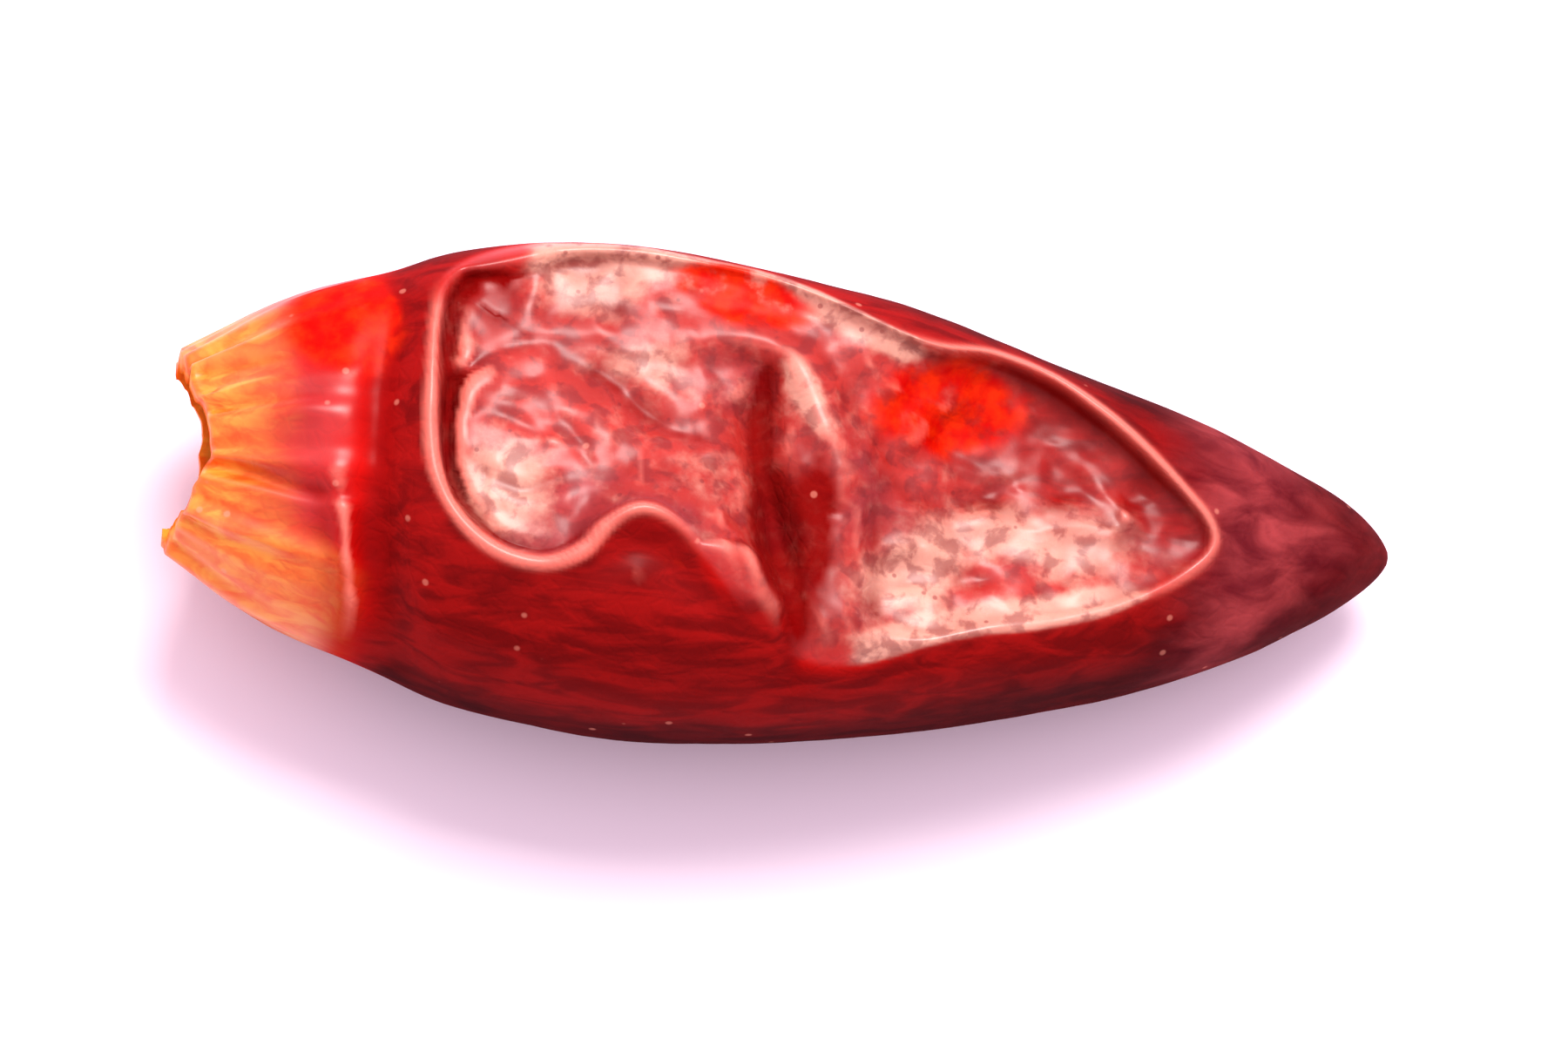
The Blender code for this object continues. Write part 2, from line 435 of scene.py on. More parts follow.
def inside_outline(along: Array, across: Array, line: Array) -> Array:
    """Whether each place lies inside a closed line: it crosses an odd number of its pieces."""
    odd = np.zeros(along.shape, bool)
    for start, end in zip(line, np.roll(line, -1, 0)):
        spans = (start[1] > across) != (end[1] > across)
        rise = end[1] - start[1]
        crossing = start[0] + (across - start[1]) * (end[0] - start[0]) / (rise or TINY)
        odd ^= spans & (along < crossing)
    return odd


@dataclass(frozen=True)
class FlankFurrow:
    """A long shallow furrow or ridge on the pod's side: where it runs, and how deep it is.

    It starts at the first place along the pod and ends at the second, at an angle round the
    pod (in turns from +Y over the top) that drifts along it.
    """

    start: float
    end: float
    turn: float
    drift: float
    depth: float
    half_width: float

    def relief(self, along: Array, angle: Array) -> Array:
        """Radial change at each place: a bell curve round the pod, faded in and out along it."""
        share = (along - self.start) / (self.end - self.start)
        wander = 0.012 * np.sin(share * 9.0 + self.turn * 40.0)
        gap = (angle / (2 * np.pi) - self.turn - self.drift * share - wander + 0.5) % 1.0 - 0.5
        fade = window(share, 0.0, 0.3, 0.6, 1.0)
        return -self.depth * fade * bell(gap, self.half_width)


@dataclass(frozen=True)
class Stretch:
    """A part of the face: it fades in across the pod, and fades in and out along it."""

    across: tuple
    along: tuple

    def mask(self, along: Array, across: Array) -> Array:
        """How far each place belongs to the stretch, from 0 to 1."""
        return smoothstep(*self.across, across) * window(along, *self.along)


@dataclass(frozen=True)
class ZonePlan:
    """Where each zone of the finish lies: a pair is the value where it starts and where it is full.

    Heights, places and distances are in millimetres. Bends are how far a point stands off the
    blurred skin, and a pair on the way in from the rim is a share of the blend there.
    """

    wander: tuple = (1.6, 11)  # cell and seed of the field that every border wanders with
    fine: tuple = (0.6, 12)
    wander_share: float = 0.25
    fine_share: float = 0.2
    # painted shade: the flanks darken below the first pair of heights, the underside below the second
    shaded: tuple = (5.4, 3.4)
    underneath: tuple = (3.8, 2.6)
    end_light: float = 2.0
    belly_start: tuple = (3.7, 4.8)
    edge_blend: float = 0.22
    soft_blend: float = 0.45
    outside: tuple = (0.1, -0.7)
    sunk_edge: tuple = (-0.3, 0.9)
    collar_end: float = 1.9
    collar_near: float = 1.3
    collar_side: tuple = (-1.2, -2.6)
    collar_blend: float = 0.9
    neck: tuple = (3.0, 3.8)
    tip_start: tuple = (19.6, 22.0)
    # painted shade on steep walls inside the rim
    steepness: tuple = (0.8, 0.5)  # upward part of the normal
    past_rim: tuple = (0.05, 0.3)
    trench_end: tuple = (6.8, 5.9)
    slope: Stretch = Stretch((-1.9, -2.8), (9.6, 10.6, 12.5, 13.2))
    far_shelf: Stretch = Stretch((2.6, 3.0), (6.6, 7.2, 14.6, 15.4))
    near_shelf: Stretch = Stretch((-1.2, -1.6), (13.6, 14.2, 19.6, 20.6))
    far_corner: Stretch = Stretch((2.9, 3.5), (4.8, 5.2, 6.7, 7.1))
    # a pale band with painted sheen along the far and near shelves
    rim_band: tuple = (-0.12, 0.0, 0.4, 0.75)
    glow_edge: tuple = (0.02, 0.6)
    most_dull: float = 0.88
    bend_blur: int = 10
    # painted shade where the skin bends inwards this far
    valley_bend: float = 0.05
    # painted highlight where the skin bends outwards, and along the lips
    crest_bend: float = 0.016
    crest_range: float = 0.03
    crest_gap: float = 0.25
    lip_light: float = 1.3
    lip_shift: float = 0.01
    lip_width: float = 0.10


def ovals(*rows: tuple) -> tuple:
    """Soft ovals from rows of along, across, half-length, half-width, height and turn."""
    return tuple(Bulge(*row) for row in rows)


@dataclass
class ChilliPod:
    """The whole pod: one closed skin from the floor of its open stem end to its tip."""

    length: float
    width: float
    crown: float = 3.9
    keel: float = 3.45
    press: float = 0.2
    belly_at: float = 9.5
    shoulder_power: float = 2.2
    taper_power: float = 1.53
    tip_bend: float = 0.3
    bend_power: float = 2.2
    tip_height: float = 1.9
    far_squareness: float = 1.2
    lean: float = 0.12
    mouth_width: float = 3.9
    mouth_height: float = 2.7
    mouth_level: float = 3.5
    mouth_depth: float = 2.6
    mouth_scallop: float = 0.7
    rim_start: float = 0.06
    tears: tuple = ((5, 0.05, 0.4), (11, 0.03, 1.9), (23, 0.012, 0.7))
    pleats: tuple = ((11, 0.35, 0.2), (19, 0.4, 1.3), (29, 0.25, 2.6))
    pleat_depth: float = 0.085
    pleat_length: float = 1.4
    mouth_shares: tuple = (
        # painted shade deepens towards the mouth's floor
        (Zone.COLLAR, 0.55, 1.0), (Zone.FLESH, 1.0, 0.9), (Zone.PAINTED_SHADE, 0.8, 0.1),
    )
    skin: float = 0.3
    columns: int = 288
    mouth_rings: int = 34
    skin_rings: int = 300
    top_crowding: float = 0.3
    tip_crowding: float = 1.15
    top_from: float = 0.02  # sine of the angle where the top starts
    top_full: float = 0.3  # sine of the angle where its relief is full
    top: CollapsedTop = CollapsedTop()
    finish: ZonePlan = ZonePlan()
    collar_creases: tuple = (
        # the furrow behind the collar
        Crease(((4.5, 4.3, 0.3), (4.35, 3.0, 0.7), (4.15, 1.4, 1.0), (4.15, 0.1, 1.0),
                (4.2, -1.2, 1.0), (4.4, -2.4, 1.0), (4.75, -3.6, 1.0), (5.0, -4.8, 0.6)),
               -0.32, 0.50),
        # the collar's near lobe, with its own edge
        Crease(((3.3, -0.6, 0.4), (3.5, -1.3, 1.0), (3.65, -2.3, 1.1), (3.8, -3.2, 1.0),
                (3.7, -3.9, 0.5)), 0.2, 0.3),
        Crease(((0.6, -0.35, 0.8), (1.6, -0.6, 1.0), (2.6, -0.85, 1.0), (3.5, -0.95, 0.6)),
               -0.18, 0.20),
        Crease(((0.6, -1.3, 0.6), (1.6, -1.8, 1.0), (2.9, -2.3, 0.7)), 0.14, 0.5),
        # lengthwise folds of the collar
        Crease(((0.7, 0.55, 0.8), (1.7, 0.8, 0.8), (2.8, 1.15, 0.2)), -0.09, 0.2),
        Crease(((0.6, 1.45, 1.0), (1.6, 1.75, 1.0), (2.9, 2.2, 0.3)), -0.12, 0.2),
        Crease(((1.4, 1.1, 0.3), (2.4, 0.9, 1.0), (3.3, 0.6, 0.3)), 0.08, 0.35),
        # a shallow pocket in the near wall under the wavy part of the rim
        Crease(((8.4, -2.3, 0.3), (9.3, -1.65, 1.0), (10.2, -1.9, 1.0), (11.2, -2.9, 0.4)),
               -0.22, 0.45),
    )
    crumple_edge: tuple = (0.1, 0.7)
    warp_cell: float = 1.1
    warp_seeds: tuple = (21, 22, 23)
    warp_size: float = 0.35
    humps: tuple = ((0.06, 1.35, 3),)
    meanders: tuple = (0.06, 0.35, 0.9, 4)  # height, peak, cell and seed
    grains: tuple = ((0.025, 0.42, 7), (0.012, 0.24, 8))
    undulations: tuple = ((0.09, 1.8, 5), (0.025, 0.75, 6))
    drawn_out: tuple = (0.5, 1.0, 1.0)
    smooth_end: float = 1.5
    waist_at: float = 3.9
    waist_depth: float = 0.045
    waist_width: float = 1.3
    flank: tuple = (
        FlankFurrow(5.0, 15.0, 0.955, -0.03, 0.28, 0.02),
        FlankFurrow(9.0, 22.5, 0.975, 0.02, 0.22, 0.016),
        FlankFurrow(3.6, 12.0, 0.89, 0.02, 0.2, 0.018),
        FlankFurrow(11.0, 21.0, 0.9, -0.01, 0.25, 0.02),
        FlankFurrow(5.0, 13.0, 0.555, 0.02, 0.16, 0.016),
        FlankFurrow(9.0, 20.0, 0.595, -0.02, 0.26, 0.02),
        FlankFurrow(3.8, 14.5, 0.635, 0.01, 0.22, 0.018),
        FlankFurrow(14.0, 23.0, 0.64, 0.02, 0.2, 0.02),
        FlankFurrow(15.0, 24.2, 0.3, 0.02, 0.1, 0.03),
    )
    spots: tuple = (
        # where the sunk skin glows red: a painted glow, of light shining through the thin skin
        ovals((15.6, 1.95, 2.5, 1.5, 1.0, 0.12), (11.2, 3.8, 2.3, 0.95, 1.0, -0.2),
              (3.2, 2.6, 1.7, 1.9, 1.0, 0.3), (10.2, -2.0, 1.9, 0.9, 0.22, -0.45)),
        # where it is pale: partly pale skin, partly painted sheen
        ovals((6.7, -0.6, 1.6, 1.5, 0.9, 0.4), (8.2, 3.8, 1.6, 1.0, 0.75),
              (9.3, 2.3, 1.8, 0.7, 0.5, 0.2), (10.6, -0.1, 1.5, 0.9, 0.2, -0.5),
              (12.7, 1.9, 1.3, 0.45, 1.2, -1.0), (15.0, -1.6, 1.6, 1.3, 0.75, 0.3),
              (16.6, -0.5, 2.4, 1.0, 0.65, 0.1), (18.6, -0.6, 1.6, 1.2, 0.6, 0.4)),
        # where it stays dark: painted shade
        ovals((6.1, 3.5, 1.2, 1.2, 0.8), (12.15, -0.9, 0.7, 2.4, 2.0, 0.2),
              (12.95, -0.6, 0.9, 2.2, 1.6, 0.15), (13.3, -2.3, 0.8, 1.4, 0.7),
              (10.4, 0.9, 1.5, 0.7, 0.4, -0.5), (8.4, 1.8, 1.5, 0.6, 0.4, -0.5),
              (9.6, -1.3, 1.1, 0.35, 0.8, -0.2), (11.8, 1.4, 0.35, 1.3, 0.6),
              (8.9, 3.4, 0.35, 0.35, 0.7)),
    )

    def from_belly(self, along: Array) -> tuple[Array, Array]:
        """How far each place lies towards the stem end and towards the tip, from 0 to 1."""
        before = np.clip(1.0 - along / self.belly_at, 0.0, 1.0)
        return before, np.clip((along - self.belly_at) / (self.length - self.belly_at), 0.0, 1.0)

    def swelling(self, along: Array, end: float, belly: float) -> Array:
        """Half-size along the pod.

        Formula: from the stem end it grows as end + (belly - end)(1 - (1 - t) to the shoulder
        power), and past the belly it tapers as belly (1 - t to the taper power) to the
        inverse of that power, which rounds the tip.

        Args:
            along: places along the pod.
            end: half-size at the stem end.
            belly: greatest half-size.

        Returns:
            The half-size at each place.
        """
        before, after = self.from_belly(along)
        shoulder = end + (belly - end) * (1.0 - before**self.shoulder_power)
        taper = belly * (1.0 - after**self.taper_power) ** (1.0 / self.taper_power)
        return np.where(along < self.belly_at, shoulder, taper)

    def level(self, along: Array) -> Array:
        """Height of the widest level: the belly's, plus a square-law rise or fall to each end."""
        belly = self.keel - self.press
        before, after = self.from_belly(along)
        rise = (self.mouth_level - belly) * before**2
        return belly + rise + (self.tip_height - belly) * after**2

    def bend(self, along: Array) -> Array:
        """Sideways place of the middle line: half a sine wave, drawn towards the tip."""
        share = np.clip(along / self.length, 0.0, 1.0) ** self.bend_power
        return -self.tip_bend * np.sin(np.pi * share)

    def section(self, along: Array, angle: Array) -> tuple[Array, Array]:
        """Cross-section of the full skin.

        Formula: a superellipse in polar form, whose half-height differs above and below the
        widest level, and whose power is higher in the upper +Y quarter, so that it is
        squarer there. The upper half leans: its height falls with the cosine of the angle.

        Args:
            along: places along the pod.
            angle: angle round the pod, from +Y over the top.

        Returns:
            Offsets across and up from the middle line.
        """
        cosine, sine = np.cos(angle), np.sin(angle)
        half_width = self.swelling(along, self.mouth_width / 2, self.width / 2)
        crown = self.swelling(along, self.mouth_height / 2, self.crown)
        keel = self.swelling(along, self.mouth_height / 2, self.keel)
        fullness = (2.0 * half_width / self.width) ** 2
        power = 2.0 + self.far_squareness * fullness * ((sine > 0) & (cosine > 0))
        half_height = np.where(sine > 0, crown, keel)
        across_part = (np.abs(cosine) / (half_width + SLIGHT)) ** power
        up_part = (np.abs(sine) / (half_height + SLIGHT)) ** power
        radius = (across_part + up_part) ** (-1.0 / power)
        leaning = np.where(sine > 0, 1.0 - self.lean * fullness * cosine, 1.0)
        return radius * cosine, radius * sine * leaning

    def full_height(self, along: Array, across: Array) -> Array:
        """Height of the uncollapsed top over a place in plan.

        Formula: the section's angle at that place is found by halving an interval, since the
        offset across falls steadily as the angle goes over the top.

        Args:
            along, across: places in plan.

        Returns:
            The height of the skin there.
        """
        low, high = np.zeros(along.shape), np.full(along.shape, np.pi)
        wanted = across - self.bend(along)
        for _ in range(HALVINGS):
            middle = (low + high) / 2
            beyond = self.section(along, middle)[0] > wanted
            low, high = np.where(beyond, middle, low), np.where(beyond, high, middle)
        return self.level(along) + self.section(along, (low + high) / 2)[1]

    def rim_offset(self, angle: Array) -> Array:
        """How far the torn rim lies from the stem end's corners: a scallop with small tears."""
        return self.mouth_scallop * np.sin(angle) ** 2 + self.rim_start + waves(self.tears, angle)

    def flutes(self, along: Array, angle: Array) -> Array:
        """Fine pleats that gather the skin at the rim: a sum of waves that dies away."""
        dying = np.exp(-np.clip(along, 0.0, None) / self.pleat_length)
        return self.pleat_depth * waves(self.pleats, angle) * dying

    def grid(self, shares: Array) -> tuple[Array, Array]:
        """The share and the angle of every point of the rings that lie at the given shares."""
        turn = np.arange(self.columns) / self.columns * 2 * np.pi
        angle = turn + self.top_crowding * np.cos(turn)
        return np.broadcast_arrays(shares[:, None], angle[None, :])

    def skin_points(self, share: Array, angle: Array) -> tuple[Array, dict]:
        """Places of the skin, from the torn rim to the tip.

        Args:
            share: share of the way from the rim to the tip, on the grid.
            angle: angle round the pod, on the grid.

        Returns:
            The points, and the fields that the finish needs.
        """
        rim = self.rim_offset(angle)
        along = rim + (self.length - rim) * (1.0 - (1.0 - share) ** self.tip_crowding)
        across, rise = self.section(along, angle)
        waist = self.waist_depth * bell(along - self.waist_at, self.waist_width)
        girth = 1.0 + self.flutes(along - rim, angle) - waist
        size = np.hypot(across, rise) + SLIGHT
        girth += sum(furrow.relief(along, angle) for furrow in self.flank) / size
        across, rise = across * girth, rise * girth
        plan = across + self.bend(along)
        height = self.level(along) + rise
        is_top = np.sin(angle) > self.top_from
        change, face = self.top.field(
            along[is_top], plan[is_top], height[is_top], self.full_height
        )
        folds = sum(crease.relief(along[is_top], plan[is_top]) for crease in self.collar_creases)
        faded = smoothstep(self.top_from, self.top_full, np.sin(angle[is_top]))
        relief = np.zeros(along.shape)
        relief[is_top] = (change + folds) * faded
        fields = {"along": along, "plan": plan}
        for name, elsewhere in (("inside", FAR_OUTSIDE), ("edge", 1.0), ("lip", 0.0)):
            fields[name] = np.full(along.shape, elsewhere)
            fields[name][is_top] = face[name]
        return np.stack([along, plan, height + relief], axis=-1), fields

    def mouth_points(self, share: Array, angle: Array) -> Array:
        """Places of the open stem end, from its floor (share 0) to its inner rim (share 1).

        Formula: a quarter-turn bowl behind the rim, puckered by the pleats.

        Args:
            share: share of the way from the floor to the rim, on the grid.
            angle: angle round the pod, on the grid.

        Returns:
            The points.
        """
        turn = np.pi / 2 * share
        pleat = 1.0 + self.flutes(np.zeros(1), angle) * share
        half_width = (self.mouth_width / 2 - self.skin) * pleat
        half_height = (self.mouth_height / 2 - self.skin) * pleat
        along = self.rim_offset(angle) * share + self.mouth_depth * np.cos(turn)
        across = half_width * np.cos(angle) * np.sin(turn)
        height = self.mouth_level + half_height * np.sin(angle) * np.sin(turn)
        return np.stack([along, across, height], axis=-1)

    def crinkles(self, points: Array, fields: dict) -> Array:
        """Small relief of the skin, along its normal.

        Formula: the crumpling is soft noise plus the negative size of a second noise, which
        peaks in meandering creases. It is strong on the sunk floors and faint elsewhere, where
        broad undulations drawn out along the pod take over.

        Args:
            points: places of the skin, on the grid.
            fields: the fields that skin_points gives.

        Returns:
            The distance to move each point outwards.
        """
        sunk = smoothstep(*self.crumple_edge, fields["inside"])
        warp = [lattice_noise(points, self.warp_cell, seed) for seed in self.warp_seeds]
        moved = points + self.warp_size * np.stack(warp, axis=-1)
        height, peak, *noise = self.meanders
        crumple = octaves(moved, self.humps) + height * (peak - np.abs(lattice_noise(moved, *noise)))
        crumple += octaves(moved, self.grains)
        folds = octaves(points * np.array(self.drawn_out), self.undulations)
        ends = smoothstep(0.0, self.smooth_end, fields["along"])
        return (crumple * (0.12 + 0.88 * sunk) + folds * (1.0 - 0.6 * sunk)) * ends

    def surface(self) -> tuple[Array, dict]:
        """The skin's grid after every step, and its zone masks."""
        share, angle = self.grid(np.arange(self.skin_rings) / self.skin_rings)
        points, fields = self.skin_points(share, angle)
        points = points + grid_normals(points) * self.crinkles(points, fields)[..., None]
        points[..., 2] = np.maximum(points[..., 2], 0.0)
        return points, self.zones(points, fields, angle)

    def zones(self, points: Array, fields: dict, angle: Array) -> dict:
        """Masks for the finish, each worked out from where a point lies and how it is bent.

        Args:
            points: places of the skin, on the grid.
            fields: the fields that skin_points gives.
            angle: angle round the pod, on the grid.

        Returns:
            One array for each zone.
        """
        spec = self.finish
        along, across, inside = fields["along"], fields["plan"], fields["inside"]
        normal = grid_normals(points)
        bent = ((grid_blur(points, spec.bend_blur) - points) * normal).sum(-1)
        wander, fine = lattice_noise(points, *spec.wander), lattice_noise(points, *spec.fine)
        drift = spec.wander_share * wander + spec.fine_share * fine
        level = points[..., 2] + drift
        # painted shade: darker lower on the flanks and on the underside
        below = smoothstep(*spec.shaded, level)
        low = smoothstep(*spec.underneath, level) * smoothstep(0.0, spec.end_light, along)
        behind = smoothstep(*spec.belly_start, along - 0.5 * drift)
        blend = spec.edge_blend + spec.soft_blend * (1.0 - grid_blur(fields["edge"], spec.bend_blur))
        outer = smoothstep(*spec.outside, (inside + 0.15 * drift) / blend) * behind
        reach = spec.collar_end + drift + spec.collar_near * smoothstep(*spec.collar_side, across)
        shifted = (along + 0.6 * drift, across + 0.4 * drift)
        glow, pale, dark = (
            sum(spot.shape(*shifted) for spot in spots) * (angle < np.pi) for spots in self.spots
        )
        # painted shade on steep walls inside the rim
        steep = smoothstep(*spec.steepness, normal[..., 2]) * smoothstep(*spec.past_rim, inside)
        steep = steep * (0.3 + 0.6 * smoothstep(*spec.trench_end, along))
        slope = spec.slope.mask(along, across + 0.8 * drift)
        far, near = spec.far_shelf.mask(along, across), spec.near_shelf.mask(along, across)
        corner = spec.far_corner.mask(along, across)
        band = window(inside, *spec.rim_band) * np.maximum(far, near)
        # painted shade: inward bends, the dark spots and steep walls
        painted_shade = np.clip(bent / spec.valley_bend, 0.0, 1.0) + 0.8 * dark
        painted_shade = np.clip(np.maximum(painted_shade, steep), 0.0, 1.0)
        # painted shade on the walls outside the rim, deepest towards the underside
        wall = np.maximum(outer * (0.6 + 0.4 * below), 0.6 * below * behind + 0.4 * low)
        wall = grid_blur(np.maximum(wall, slope * (0.6 + 0.4 * below)), 2)
        tip = smoothstep(*spec.tip_start, along + 0.4 * wander) * smoothstep(0.3, -0.3, inside)
        # painted shade: the tip is darker on its low side
        tip = tip * (1.0 - 0.75 * low)
        glow = smoothstep(*spec.glow_edge, glow)
        # the sunk floors, which carry a painted sheen
        sunk = smoothstep(*spec.sunk_edge, inside / blend)
        neck = smoothstep(*spec.neck, along) * smoothstep(0.1, -0.1, inside)
        flanks = np.clip(1.6 * (wall - tip), 0.0, spec.most_dull)
        dull = np.maximum.reduce([flanks, painted_shade, 0.9 * glow, 0.5 * sunk, 0.9 * neck])
        # painted highlight on crests and lips
        crest_highlight = np.clip((-bent - spec.crest_bend) / spec.crest_range, 0.0, 1.0)
        crest_highlight = crest_highlight * (1.0 - bell(inside, spec.crest_gap))
        lips = np.clip(fields["lip"], 0.0, 1.0)
        crest_highlight += spec.lip_light * lips * bell(inside + spec.lip_shift, spec.lip_width)
        crest_highlight = np.clip(crest_highlight, 0.0, 1.0) * (1.0 - 0.8 * np.maximum.reduce([far, near, corner]))
        crest_highlight = crest_highlight * (1.0 - 0.85 * smoothstep(0.5, 1.0, wall)) * np.clip(1.0 - dark, 0.0, 1.0)
        collar = 1.0 - smoothstep(-spec.collar_blend, spec.collar_blend, along - reach)
        return {
            # painted shade: the collar's orange gives way to dark wall on the underside
            Zone.COLLAR: collar * (1.0 - 0.7 * low),
            Zone.FLESH: np.zeros(along.shape),
            Zone.WALL: wall,
            Zone.TIP: tip,
            Zone.CREST_HIGHLIGHT: crest_highlight,
            Zone.PAINTED_SHADE: painted_shade,
            Zone.GLOW: glow,
            Zone.PALE: np.clip(pale * 1.4 + band, 0.0, 1.0),
            Zone.SHEEN: np.maximum(sunk * (1.0 - 0.6 * corner), band),
            Zone.GLOSS: np.clip(1.0 - dull, 0.0, 1.0),
        }

    def mouth_zones(self, share: Array) -> dict:
        """Masks for the open stem end: bare flesh that darkens towards its floor, a painted shade."""
        masks = {zone: np.zeros(share.shape) for zone in Zone}
        for zone, start, full in self.mouth_shares:
            masks[zone] = smoothstep(start, full, share)
        return masks

    def build(self, corner_low: Vector, corner_high: Vector) -> bpy.types.Object:
        """Makes the pod's mesh and sets it where the frame has the pod.

        Args:
            corner_low: lowest corner of the pod's box in the frame, in metres.
            corner_high: highest corner of that box.

        Returns:
            The pod's object, at the origin, with its place in its mesh.
        """
        skin, zones = self.surface()
        share, angle = self.grid(np.arange(1, self.mouth_rings + 1) / self.mouth_rings)
        mouth = self.mouth_points(share, angle)
        mouth_zones = self.mouth_zones(share)
        floor = mouth[0].mean(0) + np.array([0.02, 0.0, 0.0])
        tip = np.array([self.length, skin[-1, :, 1].mean(), skin[-1, :, 2].mean()])
        points = np.vstack([floor, mouth.reshape(-1, 3), skin.reshape(-1, 3), tip])
        low, high = points.min(0), points.max(0)
        middle = (np.array(corner_low) + np.array(corner_high)) / 2 / MM
        points += [middle[0] - (low[0] + high[0]) / 2, middle[1] - (low[1] + high[1]) / 2, 0.0]
        points[:, 2] += corner_low[2] / MM - low[2]
        masks = {}
        for zone in Zone:
            inner, outer = mouth_zones[zone], zones[zone]
            masks[zone] = np.concatenate([inner[0, :1], inner.ravel(), outer.ravel(), outer[-1, :1]])
        rings = self.mouth_rings + self.skin_rings
        faces = ring_faces(rings, self.columns, last_pole=True)
        return mesh_object("chilli_pod_skin", points * MM, faces, masks)


def ring_faces(rings: int, columns: int, last_pole: bool = False) -> list:
    """Faces that join rings of points, with a pole before the first ring.

    Args:
        rings: how many rings there are.
        columns: how many points a ring has.
        last_pole: whether a pole closes the last ring too.

    Returns:
        The faces, as lists of point numbers, wound to face outwards.
    """
    here = np.arange(columns)
    there = (here + 1) % columns
    first = 1 + np.arange(rings - 1)[:, None] * columns
    corners = [first + here, first + there, first + columns + there, first + columns + here]
    faces = np.stack(corners, axis=-1).reshape(-1, 4).tolist()
    faces += np.stack([0 * here, 1 + there, 1 + here], axis=-1).tolist()
    if last_pole:
        last = 1 + (rings - 1) * columns
        faces += np.stack([last + here, last + there, 0 * here + last + columns], axis=-1).tolist()
    return faces


def linked(name: str, data: bpy.types.ID) -> bpy.types.Object:
    """Makes an object from its data and puts it in the scene."""
    made = bpy.data.objects.new(name, data)
    bpy.context.scene.collection.objects.link(made)
    return made


def mesh_object(name: str, points: Array, faces: list, masks: dict) -> bpy.types.Object:
    """Makes a smooth-shaded object from points and faces, with one attribute for each mask."""
    mesh = bpy.data.meshes.new(name)
    mesh.from_pydata(points.tolist(), [], faces)
    for zone, values in masks.items():
        attribute = mesh.attributes.new(zone.value, "FLOAT", "POINT")
        attribute.data.foreach_set("value", values.astype(np.float32))
    mesh.shade_smooth()
    return linked(name, mesh)


# Finishes


def linear(red: int, green: int, blue: int) -> tuple[float, float, float, float]:
    """A screen colour from 0 to 255 as the linear colour that shaders take."""
    shares = (value / 255.0 for value in (red, green, blue))
    return (*(s / 12.92 if s <= 0.04045 else ((s + 0.055) / 1.055) ** 2.4 for s in shares), 1.0)


class NodeSheet:
    """Places and joins the nodes of one material or node group."""

    def __init__(self, tree: bpy.types.NodeTree) -> None:
        """Starts on a tree that is already there."""
        self.tree = tree

    def add(self, kind: str, settings: dict | None = None, **inputs) -> bpy.types.Node:
        """Adds a node.

        Args:
            kind: the node's type, without the ShaderNode in front.
            settings: values for the node's own properties.
            inputs: a value or an output socket for each input, with _ for a space.

        Returns:
            The node.
        """
        node = self.tree.nodes.new("ShaderNode" + kind)
        for name, value in (settings or {}).items():
            setattr(node, name, value)
        for name, value in inputs.items():
            self.feed(node.inputs[name.replace("_", " ")], value)
        return node

    def feed(self, socket: bpy.types.NodeSocket, value) -> None:
        """Joins an output to the socket, or sets the socket's own value."""
        if isinstance(value, bpy.types.NodeSocket):
            self.tree.links.new(value, socket)
        else:
            socket.default_value = value

    def set_shader(self, values: dict) -> None:
        """Feeds the material's Principled shader, input by input."""
        for name, value in values.items():
            self.feed(self.tree.nodes["Principled BSDF"].inputs[name], value)

    def maths(self, operation: str, *values):
        """The output of a Math node on its values."""
        node = self.add("Math", {"operation": operation})
        for socket, value in zip(node.inputs, values):
            self.feed(socket, value)
        return node.outputs[0]

    def product(self, first, *others):
        """The product of any number of values."""
        for other in others:
            first = self.maths("MULTIPLY", first, other)
        return first

    def vector(self, operation: str, first, second) -> bpy.types.Node:
        """A Vector Math node on two vectors."""
        node = self.add("VectorMath", {"operation": operation})
        self.feed(node.inputs[0], first)
        self.feed(node.inputs[1], second)
        return node

    def blend(self, share, first, second):
        """The output of a colour mix of two colours."""
        node = self.add("Mix", {"data_type": "RGBA"})
        for socket, value in zip((0, 6, 7), (share, first, second)):
            self.feed(node.inputs[socket], value)
        return node.outputs[2]

    def ramp(self, value, low: float, high: float):
        """The value mapped from low..high to 0..1 with smooth ends."""
        node = self.add("MapRange", {"interpolation_type": "SMOOTHSTEP"})
        for socket, part in zip(node.inputs, (value, low, high, 0.0, 1.0)):
            self.feed(socket, part)
        return node.outputs[0]

    def zone(self, zone: Zone):
        """The mesh's mask for a zone."""
        return self.add("Attribute", {"attribute_name": zone.value}).outputs["Fac"]

    def noise(self, vector, scale: float, detail: float = 2.0, distortion: float = 0.0):
        """The value of a noise texture."""
        node = self.add("TexNoise", Vector=vector, Scale=scale, Detail=detail, Distortion=distortion)
        return node.outputs[0]


def new_material(name: str) -> tuple:
    """Starts a material: the material, a sheet for its nodes, and the place on its own piece."""
    material = bpy.data.materials.new(name)
    material.use_nodes = True
    sheet = NodeSheet(material.node_tree)
    return material, sheet, sheet.add("TexCoord").outputs["Object"]


@dataclass(frozen=True)
class Pattern:
    """A noise pattern: its scale, detail and distortion, and the two values it fades between."""

    scale: float
    detail: float
    distortion: float = 0.0
    low: float = 0.0
    high: float = 1.0

    def mask(self, sheet: NodeSheet, place):
        """The pattern as a mask over the place."""
        noise = sheet.noise(place, self.scale, self.detail, self.distortion)
        return sheet.ramp(noise, self.low, self.high)


